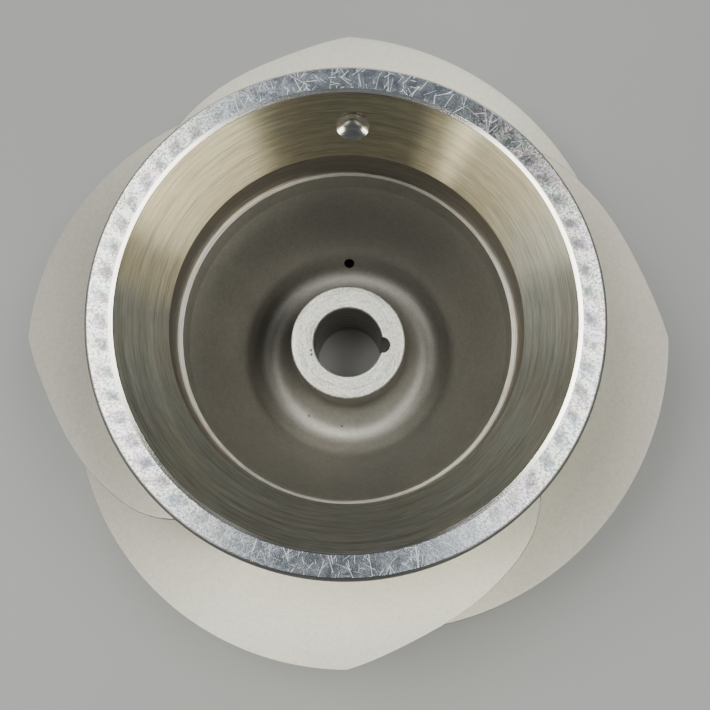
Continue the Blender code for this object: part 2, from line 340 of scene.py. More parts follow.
class Finish:
    """A metal finish: a Principled shader and the nodes that give it its pattern."""

    def __init__(self, name, colour, roughness, metallic=1.0):
        self.material = bpy.data.materials.new(name)
        self.material.use_nodes = True
        self.tree = self.material.node_tree
        self.shader = self.tree.nodes["Principled BSDF"]
        self.shader.inputs["Base Color"].default_value = (*colour, 1.0)
        self.shader.inputs["Roughness"].default_value = roughness
        self.shader.inputs["Metallic"].default_value = metallic
        self.place = self.add("TexCoord", {}).outputs["Object"]
        self.bump = None

    def add(self, kind, inputs, **settings):
        """Add a node with its settings, and link or set each of its inputs."""
        node = self.tree.nodes.new("ShaderNode" + kind)
        for key, value in settings.items():
            setattr(node, key, value)
        for key, value in inputs.items():
            socket = node.inputs[key]
            if isinstance(value, bpy.types.NodeSocket):
                self.tree.links.new(value, socket)
            else:
                socket.default_value = value
        return node

    def maths(self, operation, first, second=0.0, third=0.0):
        inputs = {0: first, 1: second, 2: third}
        return self.add("Math", inputs, operation=operation).outputs[0]

    def product(self, first, *others):
        """All the given values multiplied."""
        for other in others:
            first = self.maths("MULTIPLY", first, other)
        return first

    def plus(self, base, *terms):
        """The base with a share of each value added. A term is a value and its share."""
        for value, share in terms:
            base = self.maths("MULTIPLY_ADD", value, share, base)
        return base

    def vector(self, operation, first, second=(0.0, 0.0, 0.0), output=0):
        return self.add("VectorMath", {0: first, 1: second}, operation=operation).outputs[output]

    def scaled(self, place, by):
        return self.vector("MULTIPLY", place, by)

    def noise(self, place, scale, detail=2.0, rough=0.5):
        inputs = {"Vector": place, "Scale": scale, "Detail": detail, "Roughness": rough}
        return self.add("TexNoise", inputs).outputs["Fac"]

    def fade(self, value, low, high, from_value=0.0, to_value=1.0):
        """Go smoothly from one value to another while the given value goes from low to high."""
        inputs = {"Value": value, "From Min": low, "From Max": high, "To Min": from_value,
                  "To Max": to_value}
        return self.add("MapRange", inputs, interpolation_type="SMOOTHSTEP").outputs["Result"]

    def between(self, value, rise, fall):
        """A mask that fades in over the first range and out again over the second."""
        return self.product(self.fade(value, *rise), self.fade(value, *fall, 1.0, 0.0))

    def blend(self, factor, first, second, mode="MIX"):
        """Mix two colours, each a node's output or a plain colour."""
        node = self.add("Mix", {0: factor}, data_type="RGBA", blend_type=mode)
        for socket, value in ((node.inputs[6], first), (node.inputs[7], second)):
            if isinstance(value, bpy.types.NodeSocket):
                self.tree.links.new(value, socket)
            else:
                socket.default_value = (*value, 1.0)
        return node.outputs[2]

    def polar(self, around, along):
        """Seamless coordinates for marks that run round the axis: slow around, fine along."""
        parts = self.add("SeparateXYZ", {0: self.place})
        flat = self.scaled(self.place, (1.0, 1.0, 0.0))
        reach = self.vector("LENGTH", flat, output="Value")
        ring = self.scaled(self.vector("NORMALIZE", flat), (around, around, 0.0))
        across = self.product(self.maths("ADD", reach, parts.outputs["Z"]), along)
        lift = self.add("CombineXYZ", {"Z": across}).outputs[0]
        return self.vector("ADD", ring, lift)

    def raise_by(self, value, distance):
        """Add a height pattern to the bump."""
        inputs = {"Strength": 1.0, "Distance": distance, "Height": value}
        if self.bump is not None:
            inputs["Normal"] = self.bump
        self.bump = self.add("Bump", inputs).outputs["Normal"]
        self.tree.links.new(self.bump, self.shader.inputs["Normal"])

    def colour_by(self, socket):
        self.tree.links.new(socket, self.shader.inputs["Base Color"])

    def roughness_by(self, socket):
        self.tree.links.new(socket, self.shader.inputs["Roughness"])

    def brush_round(self, amount):
        """Stretch the gloss across marks that run round the axis, a quarter turn from them."""
        self.shader.inputs["Anisotropic"].default_value = amount
        self.shader.inputs["Anisotropic Rotation"].default_value = 0.25
        tangent = self.add("Tangent", {}, direction_type="RADIAL", axis="Z")
        self.tree.links.new(tangent.outputs[0], self.shader.inputs["Tangent"])

    def angle(self, place):
        """Angle round the axis, in radians anticlockwise from the right."""
        parts = self.add("SeparateXYZ", {0: place}).outputs
        return self.maths("ARCTAN2", parts["Y"], parts["X"])

    def reach(self, place):
        """Distance from the axis."""
        return self.vector("LENGTH", self.scaled(place, (1.0, 1.0, 0.0)), output="Value")

    def right_and_back(self):
        """How far to the right and to the back of the axis a place lies, each from -1 to 1."""
        parts = self.add("SeparateXYZ", {0: self.place}).outputs
        reach = self.reach(self.place)
        return self.maths("DIVIDE", parts["X"], reach), self.maths("DIVIDE", parts["Y"], reach)

    def scratches(self, cells, half_width, reach, seed, spread=math.pi, across=False):
        """Thin straight scratches, one in each cell of a random grid, as a mask.

        They lie anyhow, or, with across, within half the spread of the line out from the axis.
        """
        cell = self.add("TexVoronoi", {"Vector": self.vector("ADD", self.place, (seed, seed, 0.0)),
                                       "Scale": cells, "Randomness": 1.0}, voronoi_dimensions="2D")
        centre = self.vector("SUBTRACT", cell.outputs["Position"], (seed, seed, 0.0))
        centre = self.scaled(centre, (1.0, 1.0, 0.0))
        offset = self.vector("SUBTRACT", self.scaled(self.place, (1.0, 1.0, 0.0)), centre)
        chance = self.add("SeparateColor", {0: cell.outputs["Color"]}).outputs
        turn = self.product(self.maths("SUBTRACT", chance["Red"], 0.5), spread)
        if across:
            turn = self.maths("ADD", turn, self.angle(centre))
        cosine = self.maths("COSINE", turn)
        sine = self.maths("SINE", turn)
        ray = self.add("CombineXYZ", {"X": cosine, "Y": sine}).outputs[0]
        side = self.add("CombineXYZ", {"X": sine, "Y": self.product(cosine, -1.0)})
        along = self.maths("ABSOLUTE", self.vector("DOT_PRODUCT", offset, ray, output="Value"))
        away = self.maths("ABSOLUTE", self.vector("DOT_PRODUCT", offset, side.outputs[0],
                                                  output="Value"))
        line = self.fade(away, half_width * 0.4, half_width, 1.0, 0.0)
        inside = self.maths("LESS_THAN", along, self.product(chance["Green"], reach))
        deep = self.fade(chance["Blue"], 0.15, 0.90)
        return self.product(line, inside, deep)

    def greatest(self, masks):
        """The strongest of several masks."""
        most = masks[0]
        for mask in masks[1:]:
            most = self.maths("MAXIMUM", most, mask)
        return most

    def grey(self, value):
        """A grey of the given lightness."""
        return self.add("CombineColor", {0: value, 1: value, 2: value}).outputs[0]

    def shade(self, tone, share):
        """A colour made darker or lighter by a share."""
        return self.blend(1.0, tone, self.grey(share), "MULTIPLY")

    def spot(self, centre, size):
        """One small round mark at a given place, as a mask."""
        away = self.vector("DISTANCE", self.place, centre, output="Value")
        return self.fade(away, size * 0.5, size, 1.0, 0.0)

    def specks(self, cells, size, share, seed):
        """Small round specks in a share of the cells of a random grid, as a mask."""
        cell = self.add("TexVoronoi", {"Vector": self.vector("ADD", self.place, (seed, seed, seed)),
                                       "Scale": cells, "Randomness": 1.0})
        chance = self.add("SeparateColor", {0: cell.outputs["Color"]}).outputs
        dot = self.fade(cell.outputs["Distance"], size * cells * 0.5, size * cells, 1.0, 0.0)
        return self.product(dot, self.maths("LESS_THAN", chance["Red"], share))


def rim_scratches(finish):
    """Strong scratches, most of them across the rim, and faint ones that lie anyhow."""
    strong = [finish.scratches(*layer, across=True) for layer in CROSSING_SCRATCHES]
    strong.append(finish.scratches(*STRAY_SCRATCHES))
    faint = [finish.scratches(*layer) for layer in FAINT_SCRATCHES]
    return finish.greatest([*strong, finish.product(finish.greatest(faint), 0.6)])


def rim_chatter(finish, turn, sideways, cloud):
    """Slanted and wandering chatter patches along the middle of the rim, at both sides."""
    reach = finish.reach(finish.place)
    wander = finish.product(finish.noise(finish.place, 70.0, 2.0), CHATTER_WANDER)
    slant = finish.plus(wander, (reach, CHATTER_SLANT))
    wave = finish.maths("SINE", finish.plus(slant, (turn, CHATTER_PATCHES)))
    return finish.product(finish.fade(wave, -0.8, 0.9),
                          finish.between(reach, CHATTER_INNER, CHATTER_OUTER), sideways,
                          finish.fade(cloud, 0.32, 0.60, 0.45, 1.0))


def rim_hues(finish):
    """A faint rainbow in soft patches."""
    hues = finish.add("ValToRGB", {0: finish.noise(finish.place, 75.0, 2.0, 0.5)})
    ramp = hues.color_ramp
    while len(ramp.elements) < len(RAINBOW):
        ramp.elements.new(0.5)
    for element, (position, colour) in zip(ramp.elements, RAINBOW):
        element.position = position
        element.color = (*colour, 1.0)
    return hues.outputs["Color"]


def rim_finish():
    """Faced and polished steel with chatter patches, crossing scratches, a faint rainbow, and
    painted shade at the sides and painted light at the back.
    """
    finish = Finish("polished_rim_steel", (0.56, 0.57, 0.58), 0.16)
    marks = rim_scratches(finish)
    haze = finish.noise(finish.place, 1100.0, 3.0, 0.7)
    cloud = finish.noise(finish.place, 260.0, 4.0, 0.65)
    turn = finish.angle(finish.place)
    sideways = finish.fade(finish.maths("ABSOLUTE", finish.maths("COSINE", turn)), 0.30, 0.80)
    patch = rim_chatter(finish, turn, sideways, cloud)
    tone = finish.blend(finish.product(sideways, 0.75), (0.52, 0.57, 0.64), rim_hues(finish))
    # The haze is stronger at both sides, where it darkens the rim as painted shade, and the back of
    # the rim is painted lighter as painted light
    haze_low_and_side_shade = finish.fade(sideways, 0.0, 1.0, 0.74, 0.30)
    tone = finish.shade(tone, finish.fade(haze, 0.32, 0.66, haze_low_and_side_shade, 1.15))
    tone = finish.shade(tone, finish.fade(cloud, 0.32, 0.68, 0.88, 1.08))
    tone = finish.shade(tone, finish.fade(finish.maths("SINE", turn), 0.40, 0.85, 1.0, 1.35))
    tone = finish.blend(finish.product(patch, 0.86), tone, CHATTER_COLOUR)
    tone = finish.blend(finish.product(marks, 0.9), tone, SCRATCH_COLOUR)
    finish.colour_by(tone)
    finish.roughness_by(finish.plus(finish.fade(cloud, 0.30, 0.70, 0.19, 0.25), (marks, 0.34)))
    finish.raise_by(marks, -0.00002)
    finish.raise_by(haze, 0.00001)
    return finish.material


def cone_painted_light_and_tint(finish):
    """The cone's colour round the axis: painted light at the back and left with a band of painted
    highlight, a golden tint at the back, and painted shade at the front right.
    """
    turn = finish.angle(finish.place)
    lit_back = finish.between(turn, LIT_BACK_START, LIT_BACK_END)
    golden = finish.between(turn, GOLDEN_START, LIT_BACK_END)
    painted_highlight = finish.between(turn, HIGHLIGHT_START, HIGHLIGHT_END)
    from_painted_shade = finish.maths("ABSOLUTE", finish.maths("SUBTRACT", turn, SHADE_ANGLE))
    painted_shade = finish.fade(from_painted_shade, 0.0, SHADE_REACH, -0.18, 0.0)
    # Painted light at the back, a painted highlight band and painted shade at the front right
    tone = finish.plus(0.66, (lit_back, 0.34), (painted_highlight, 0.60), (painted_shade, 1.0))
    tint = finish.blend(golden, (0.97, 1.01, 1.04), (1.06, 1.00, 0.82))
    return finish.shade(tint, tone)


def ledge_painted_light(finish):
    """Painted light on the ledge round the axis: brightest at the left and the right."""
    right, back = finish.right_and_back()
    tone = finish.plus(0.45, (finish.product(right, right), 0.70), (right, -0.12), (back, 0.07),
                       (finish.product(back, right), -0.40))
    return finish.grey(tone)


def mouth_painted_shade(finish):
    """Painted shade on the mouth chamfer round the axis: darker only at the front."""
    back = finish.right_and_back()[1]
    return finish.grey(finish.fade(back, -0.96, -0.88, 0.36, 1.0))


def face_stain(finish):
    """The boss face: cream and grey blotches with a fine speckle, and two pits."""
    blotch = finish.noise(finish.place, 260.0, 3.0, 0.6)
    speckle = finish.noise(finish.place, 1500.0, 3.0, 0.7)
    tone = finish.blend(finish.fade(blotch, 0.35, 0.65), (0.92, 0.93, 0.93), (1.0, 1.0, 0.93))
    tone = finish.shade(tone, finish.fade(speckle, 0.32, 0.62, 0.62, 1.0))
    pits = finish.greatest([finish.spot(place, PIT_SIZE) for place in FACE_PITS])
    return finish.blend(pits, tone, FACE_PIT_COLOUR)


def turned_finish(name, colour, roughness, brush=0.0, groove=0.00002, dots=0.0, stain_and_light=None):
    """Lathe-turned steel: fine rings round the axis, uneven from one stretch to the next.

    brush is how far the gloss is stretched and groove how deep the rings are. dots is the share
    of cells with a bright speck, and the last argument a function that gives the colour's change by
    place: real blotches on the boss face, painted light and shade on the other turned surfaces.
    """
    finish = Finish(name, colour, roughness)
    finish.brush_round(brush)
    # Each pattern changes slowly round the axis and has many marks in a metre along the surface
    rings = finish.noise(finish.polar(0.6, 2600.0), 1.0, 3.0, 0.7)
    lines = finish.noise(finish.polar(1.1, 2100.0), 1.0, 2.0, 0.6)
    bands = finish.noise(finish.polar(1.4, 420.0), 1.0, 3.0, 0.65)
    streak = finish.noise(finish.polar(9.0, 1700.0), 1.0, 2.0, 0.6)
    hue = finish.noise(finish.place, 60.0, 2.0, 0.5)
    warm = tuple(channel * share for channel, share in zip(colour, (1.02, 0.99, 0.95)))
    cool = tuple(channel * share for channel, share in zip(colour, (0.98, 1.0, 1.0)))
    tone = finish.blend(finish.fade(hue, 0.35, 0.65), warm, cool)
    # Soft bands and streaks, and thin dark lines
    tone = finish.shade(tone, finish.product(finish.fade(bands, 0.30, 0.70, 0.88, 1.08),
                                             finish.fade(streak, 0.3, 0.7, 0.84, 1.12),
                                             finish.fade(lines, 0.34, 0.44, 0.66, 1.0)))
    if stain_and_light:
        tone = finish.blend(1.0, tone, stain_and_light(finish), "MULTIPLY")
    if dots:
        specks = finish.specks(700.0, 0.00016, dots, 0.37)
        tone = finish.blend(finish.product(specks, 0.8), tone, BRIGHT_SPECK_COLOUR)
        finish.raise_by(specks, 0.00008)
    finish.colour_by(tone)
    finish.roughness_by(finish.fade(rings, 0.30, 0.70, roughness * 0.85, roughness * 1.2))
    finish.raise_by(rings, groove)
    return finish.material


def pocket_painted_light(finish):
    """Painted light and shade inside the bowl: painted shade deeper down, painted light on the
    floor beside the boss.
    """
    height = finish.add("SeparateXYZ", {0: finish.place}).outputs["Z"]
    right, back = finish.right_and_back()
    back_squared = finish.product(back, back)
    # The floor is painted lighter in front as painted light, and a little darker at its left end as
    # painted shade
    wall = finish.fade(height, *(RIM_Z - depth for depth in WALL_SHADE_DEPTHS), 0.90, 1.06)
    floor = finish.plus(0.33, (back, -0.45), (right, 0.12), (back_squared, 0.66))
    floor = finish.product(floor, finish.fade(right, -0.95, -0.60, 0.66, 1.0))
    near_floor = finish.fade(height, *(RIM_Z - depth for depth in FLOOR_LIGHT_DEPTHS), 1.0, 0.0)
    tone = finish.add("Mix", {0: near_floor, 2: wall, 3: floor}, data_type="FLOAT").outputs[0]
    # Painted light: the whole bowl is lighter to the left and to the back
    around = finish.plus(1.085, (back, 0.145), (right, -0.135), (back_squared, -0.26),
                         (finish.product(back, right), -0.10))
    return finish.product(tone, around)


def pocket_pits(finish, tone):
    """Two small pits in the pocket's floor."""
    pits = finish.greatest([finish.spot(place, PIT_SIZE) for place in FLOOR_PITS])
    return finish.blend(pits, tone, PIT_COLOUR)


def blade_painted_light(finish):
    """Painted light and shade on the blades round the axis: painted shade at both sides, a little
    lighter to the right.
    """
    right = finish.right_and_back()[0]
    sideways = finish.fade(finish.maths("ABSOLUTE", right), 0.35, 0.95, 1.10, 0.64)
    return finish.plus(sideways, (right, 0.05))


def cast_finish(name, colour, second_colour, roughness, metallic, grain, depth, dots=0.0,
                shade_by=None, marks=None):
    """Blasted casting: an even fine grain with soft patches of two near colours.

    grain is the grain's scale and depth its height. dots is the share of cells with a speck.
    shade_by is a function that gives the painted light and shade by place, and marks one that adds
    marks.
    """
    finish = Finish(name, colour, roughness, metallic)
    grit = finish.noise(finish.place, grain, 3.0, 0.65)
    mottle = finish.noise(finish.place, grain * 0.25, 3.0, 0.6)
    patches = finish.noise(finish.place, 28.0, 3.0, 0.55)
    tone = finish.blend(finish.fade(patches, 0.32, 0.68), colour, second_colour)
    share = finish.product(finish.fade(grit, 0.25, 0.75, 0.88, 1.08),
                           finish.fade(mottle, 0.30, 0.70, 0.95, 1.04))
    if shade_by:
        share = finish.product(share, shade_by(finish))
    tone = finish.shade(tone, share)
    if marks:
        tone = marks(finish, tone)
    if dots:
        light = finish.specks(420.0, 0.00018, dots, 0.21)
        dark = finish.specks(360.0, 0.00022, dots * 0.6, 0.73)
        tone = finish.blend(finish.product(light, 0.6), tone, PALE_SPECK_COLOUR)
        tone = finish.blend(finish.product(dark, 0.7), tone, PIT_COLOUR)
        finish.raise_by(dark, -0.00012)
    finish.colour_by(tone)
    finish.raise_by(grit, depth)
    return finish.material


def pocket_arc():
    """Centre of the pocket's round floor, and the angle where it runs into the cavity wall."""
    centre = (BOSS_RADIUS + POCKET_ROUND, RIM_Z - POCKET_DEPTH + POCKET_ROUND)
    top = (CAVITY_TOP_RADIUS - centre[0], RIM_Z - CAVITY_TOP_DEPTH - centre[1])
    touch = math.degrees(math.atan2(top[1], top[0])
                         - math.acos(POCKET_ROUND / math.hypot(*top)))
    return centre, touch


def hub_outline():
    """Outline of the hub from the rim face outwards, down the skin, and up inside the bowl."""
    skin_top = RIM_Z - RIM_LIP_DEPTH
    ledge_z = RIM_Z - LEDGE_DEPTH
    outline = [(RIM_FACE_INNER, RIM_Z)]
    outline += straight(outline[-1], (RIM_RADIUS - RIM_EDGE_WIDTH, RIM_Z), RIM_STEPS)
    outline += [(RIM_RADIUS, RIM_Z - RIM_EDGE_DEPTH), (hub_radius(skin_top), skin_top)]
    for step in range(1, SKIN_STEPS + 1):
        height = skin_top + (NOSE_EDGE - skin_top) * step / SKIN_STEPS
        outline.append((hub_radius(height), height))
    outline += arc((NOSE_RADIUS - NOSE_EDGE, NOSE_EDGE), NOSE_EDGE, 0.0, -90.0, ROUND_STEPS)
    outline += straight(outline[-1], (BOSS_RADIUS, NOSE_Z), WALL_STEPS)
    outline += straight(outline[-1], (BOSS_RADIUS, RIM_Z - POCKET_DEPTH + POCKET_ROUND), WALL_STEPS)
    centre, touch = pocket_arc()
    outline += arc(centre, POCKET_ROUND, 180.0, 360.0 + touch, POCKET_STEPS)
    outline += straight(outline[-1], (CAVITY_TOP_RADIUS, RIM_Z - CAVITY_TOP_DEPTH), CAVITY_STEPS)
    outline += straight(outline[-1], (LEDGE_INNER_RADIUS, ledge_z), WALL_STEPS)
    outline += [(CONE_END_RADIUS - LEDGE_FILLET_WIDTH, ledge_z)]
    for step in range(1, ROUND_STEPS + 1):
        turn = math.pi / 2.0 * step / ROUND_STEPS
        outline.append((CONE_END_RADIUS - LEDGE_FILLET_WIDTH * (1.0 - math.sin(turn)),
                        ledge_z + LEDGE_FILLET_HEIGHT * (1.0 - math.cos(turn))))
    outline += straight(outline[-1], (CONE_END_RADIUS, RIM_Z - CONE_DEPTH), COUNTERBORE_STEPS)
    slope = (CONE_DEPTH - MOUTH_DEPTH) / (MOUTH_RADIUS - CONE_END_RADIUS)
    line_end = (MOUTH_RADIUS - MOUTH_SHADE_LINE / slope, RIM_Z - MOUTH_DEPTH - MOUTH_SHADE_LINE)
    outline += straight(outline[-1], line_end, CONE_STEPS)
    outline += [(MOUTH_RADIUS, RIM_Z - MOUTH_DEPTH)]
    return outline


def drill_point(name, radius, depth, mouth, inward, material):
    """A drill: a cylinder with a pointed end, entering at a point along a direction."""
    tip = radius / math.tan(math.radians(DRILL_POINT_ANGLE / 2.0))
    above = 2.0 * radius
    deselect()
    bpy.ops.mesh.primitive_cone_add(vertices=DRILL_SEGMENTS, radius1=0.0, radius2=radius, depth=tip)
    cutter = bpy.context.object
    cutter.name = name
    edit(cutter)
    bpy.ops.mesh.select_all(action="SELECT")
    bpy.ops.transform.translate(value=(0.0, 0.0, -depth - tip / 2.0))
    bpy.ops.mesh.select_all(action="DESELECT")
    leave_edit()
    for face in cutter.data.polygons:
        face.select = len(face.vertices) == DRILL_SEGMENTS
    edit(cutter)
    bpy.ops.mesh.extrude_region_move(TRANSFORM_OT_translate={"value": (0.0, 0.0, depth + above)})
    bpy.ops.mesh.select_all(action="SELECT")
    bpy.ops.mesh.normals_make_consistent(inside=False)
    leave_edit()
    cutter.data.materials.append(material)
    turn = Vector((0.0, 0.0, -1.0)).rotation_difference(inward).to_matrix().to_4x4()
    cutter.matrix_world = Matrix.Translation(mouth) @ turn
    bpy.context.view_layer.update()
    return cutter


def point_on_bowl(angle, share, top, bottom):
    """A point on a conical stretch of the bowl and the direction that goes straight into it."""
    radius = top[0] + (bottom[0] - top[0]) * share
    height = top[1] + (bottom[1] - top[1]) * share
    fall = Vector((bottom[0] - top[0], 0.0, bottom[1] - top[1])).normalized()
    inward = Vector((-fall.z, 0.0, fall.x))
    turn = Matrix.Rotation(math.radians(angle), 3, "Z")
    return turn @ Vector((radius, 0.0, height)), turn @ inward


def point_on_pocket(angle, lean):
    """A point on the pocket's round floor and the direction that goes straight into it."""
    centre = pocket_arc()[0]
    inward = Vector((math.cos(math.radians(lean)), 0.0, -math.sin(math.radians(lean))))
    turn = Matrix.Rotation(math.radians(angle), 3, "Z")
    return turn @ (Vector((centre[0], 0.0, centre[1])) + inward * POCKET_ROUND), turn @ inward


def hub_zone(radius, depth, normal):
    """Which finish a face of the hub has."""
    if normal.z > LEVEL and depth < RIM_MARGIN:
        return "rim"
    if normal.xy.dot(normal.xy) < NOSE_LEAN and depth > POCKET_DEPTH + NOSE_EDGE:
        return "nose"
    # The steep faces of the outer rim edge take the dark edge steel, painted shade
    if radius > RIM_RADIUS - RIM_EDGE_WIDTH - EDGE_BREAK and depth < RIM_EDGE_DEPTH:
        return "mouth" if normal.z > SHINE_LEAN else "edge"
    if radius > hub_radius(RIM_Z - depth) - SKIN_MARGIN:
        return "skin"
    if depth < MOUTH_DEPTH:
        return "mouth"
    # A thin ring of the dark relief steel just under the mouth is a painted shade line
    if depth < MOUTH_DEPTH + MOUTH_SHADE_LINE:
        return "relief"
    if depth < CONE_DEPTH:
        return "cone"
    if depth < LEDGE_DEPTH - LEDGE_FILLET_HEIGHT:
        return "relief"
    if depth < LEDGE_DEPTH + EDGE_BREAK:
        return "ledge"
    return "cavity"


def hub_materials(blasted):
    """The hub's finishes, zone by zone."""
    return {
        "rim": rim_finish(),
        # The outer rim edge's near-black steel is painted shade
        "edge": turned_finish("rim_edge_steel_painted_shade", (0.10, 0.10, 0.11), roughness=0.40, brush=0.3),
        "mouth": turned_finish("mouth_chamfer_steel", (0.98, 0.97, 0.89), roughness=0.16, brush=0.4,
                               groove=0.00001, stain_and_light=mouth_painted_shade),
        "cone": turned_finish("turned_cone_steel", (0.56, 0.54, 0.46), roughness=0.36, brush=0.95,
                              dots=0.05, stain_and_light=cone_painted_light_and_tint),
        # The relief steel also paints the shade line under the mouth
        "relief": turned_finish("relief_steel_and_shade_line", (0.34, 0.31, 0.27), roughness=0.42, brush=0.5),
        "ledge": turned_finish("ledge_steel", (0.92, 0.89, 0.81), roughness=0.50,
                               stain_and_light=ledge_painted_light),
        "cavity": cast_finish("cavity_cast_steel", (0.58, 0.56, 0.50), (0.50, 0.49, 0.45),
                              roughness=0.44, metallic=0.8, grain=1500.0, depth=0.00006, dots=0.03,
                              shade_by=pocket_painted_light, marks=pocket_pits),
        "skin": blasted,
        "nose": turned_finish("faced_nose_steel", (0.62, 0.61, 0.58), roughness=0.30, brush=0.6),
    }


def drill_hub(hub):
    """Drill the balance spot into the cone and the small hole into the pocket's floor."""
    drilled = turned_finish("drilled_steel", (0.82, 0.80, 0.74), roughness=0.16, groove=0.00001)
    # The drain hole's near-black steel is painted shade
    dark = turned_finish("drain_steel_painted_shade", (0.008, 0.008, 0.007), roughness=0.60)
    cone_top = (MOUTH_RADIUS, RIM_Z - MOUTH_DEPTH)
    cone_end = (CONE_END_RADIUS, RIM_Z - CONE_DEPTH)
    mouth, inward = point_on_bowl(BALANCE_SPOT_ANGLE, BALANCE_SPOT_SHARE, cone_top, cone_end)
    cut_away(hub, drill_point("balance_drill", BALANCE_SPOT_RADIUS, 0.0, mouth, inward, drilled))
    mouth, inward = point_on_pocket(DRAIN_ANGLE, DRAIN_LEAN)
    cut_away(hub, drill_point("drain_drill", DRAIN_RADIUS, DRAIN_DEPTH, mouth, inward, dark))


def make_hub(blasted):
    """The hub: polished rim, turned cone and relief, ledge, cast cavity, web and nose."""
    hub = turn_piece("hub_shell_finished", hub_outline(), LATHE_SEGMENTS)
    corners = ((RIM_RADIUS - RIM_EDGE_WIDTH, RIM_Z), (RIM_RADIUS, RIM_Z - RIM_EDGE_DEPTH),
               (CONE_END_RADIUS, RIM_Z - CONE_DEPTH), (LEDGE_INNER_RADIUS, RIM_Z - LEDGE_DEPTH),
               (BOSS_RADIUS, NOSE_Z))
    break_edges(hub, corners, EDGE_BREAK)
    paint_zones(hub, hub_materials(blasted), hub_zone)
    drill_hub(hub)
    smooth(hub, LATHE_SMOOTH_ANGLE)
    dress(hub, "hub_shell")


def boss_zone(radius, depth, normal):
    """Which finish a face of the boss has."""
    if radius < BORE_RADIUS + BORE_EDGE and FACE_LEAN < normal.z < BEVEL_LEAN:
        return "bevel"
    if radius < BORE_RADIUS + KEY_NOTCH_RADIUS and normal.z < FACE_LEAN:
        return "bore"
    if abs(normal.z) > FACE_LEAN:
        return "face"
    return "wall"


def boss_outline():
    """Outline of the boss from the bore's upper edge outwards, down the wall and up the bore."""
    outline = [(BORE_RADIUS + BORE_EDGE, BOSS_TOP)]
    outline += straight(outline[-1], (BOSS_RADIUS - BOSS_EDGE, BOSS_TOP), WALL_STEPS)
    outline += [(BOSS_RADIUS, BOSS_TOP - BOSS_EDGE)]
    outline += straight(outline[-1], (BOSS_RADIUS, NOSE_Z), BOSS_WALL_STEPS)
    outline += straight(outline[-1], (BORE_RADIUS + BORE_EDGE, NOSE_Z), RIM_STEPS)
    outline += [(BORE_RADIUS, NOSE_Z + BORE_EDGE)]
    outline += straight(outline[-1], (BORE_RADIUS, BOSS_TOP - BORE_EDGE), BORE_STEPS)
    return outline


def make_boss(cast):
    """The sleeve round the shaft: faced top, bore with its key notch, cast outside darkened as
    painted shade.
    """
    boss = turn_piece("shaft_boss_finished", boss_outline(), BOSS_SEGMENTS)
    corners = ((BOSS_RADIUS - BOSS_EDGE, BOSS_TOP), (BOSS_RADIUS, BOSS_TOP - BOSS_EDGE),
               (BORE_RADIUS + BORE_EDGE, BOSS_TOP))
    break_edges(boss, corners, EDGE_BREAK / 2.0)
    materials = {
        "face": turned_finish("faced_boss_steel", (0.99, 0.99, 0.95), roughness=0.48,
                              groove=0.00003, stain_and_light=face_stain),
        "bevel": turned_finish("bore_chamfer_steel", (0.80, 0.80, 0.77), roughness=0.42,
                               groove=0.00001),
        "wall": cast,
        "bore": turned_finish("bored_steel", (0.40, 0.38, 0.35), roughness=0.30, brush=0.5),
    }
    paint_zones(boss, materials, boss_zone)
    turn = Matrix.Rotation(math.radians(KEY_NOTCH_ANGLE), 3, "Z")
    deselect()
    bpy.ops.mesh.primitive_cylinder_add(vertices=NOTCH_SEGMENTS, radius=KEY_NOTCH_RADIUS,
                                        depth=3.0 * BOSS_TOP,
                                        location=turn @ Vector((BORE_RADIUS, 0.0, BOSS_TOP / 2.0)))
    notch = bpy.context.object
    notch.data.materials.append(materials["bore"])
    cut_away(boss, notch)
    smooth(boss, LATHE_SMOOTH_ANGLE)
    dress(boss, "shaft_boss")


def bezier(values, share):
    """A cubic Bezier curve's value, from its four control values."""
    rest = 1.0 - share
    return (values[0] * rest ** 3 + 3.0 * values[1] * rest ** 2 * share
            + 3.0 * values[2] * rest * share ** 2 + values[3] * share ** 3)


def slopes_through(stations, values):
    """Slopes of the smooth curve through the given points, one at each point."""
    last = len(stations) - 1
    slopes = []
    for index in range(last + 1):
        before = max(index - 1, 0)
        after = min(index + 1, last)
        if before == index or after == index:
            slopes.append((values[after] - values[before]) / (stations[after] - stations[before]))
            continue
        back = stations[index] - stations[before]
        ahead = stations[after] - stations[index]
        rise = (values[after] - values[index]) / ahead * back
        fall = (values[index] - values[before]) / back * ahead
        slopes.append((rise + fall) / (back + ahead))
    return slopes


def smooth_value(stations, values, at):
    """Value at one station of the smooth curve that passes through all the given points."""
    slopes = slopes_through(stations, values)
    first = 0
    while first < len(stations) - 2 and at > stations[first + 1]:
        first += 1
    span = stations[first + 1] - stations[first]
    share = (at - stations[first]) / span
    turn = share * share * (3.0 - 2.0 * share)
    lead_in = share * (1.0 - share) ** 2 * slopes[first] * span
    lead_out = share * share * (1.0 - share) * slopes[first + 1] * span
    return values[first] * (1.0 - turn) + values[first + 1] * turn + lead_in - lead_out


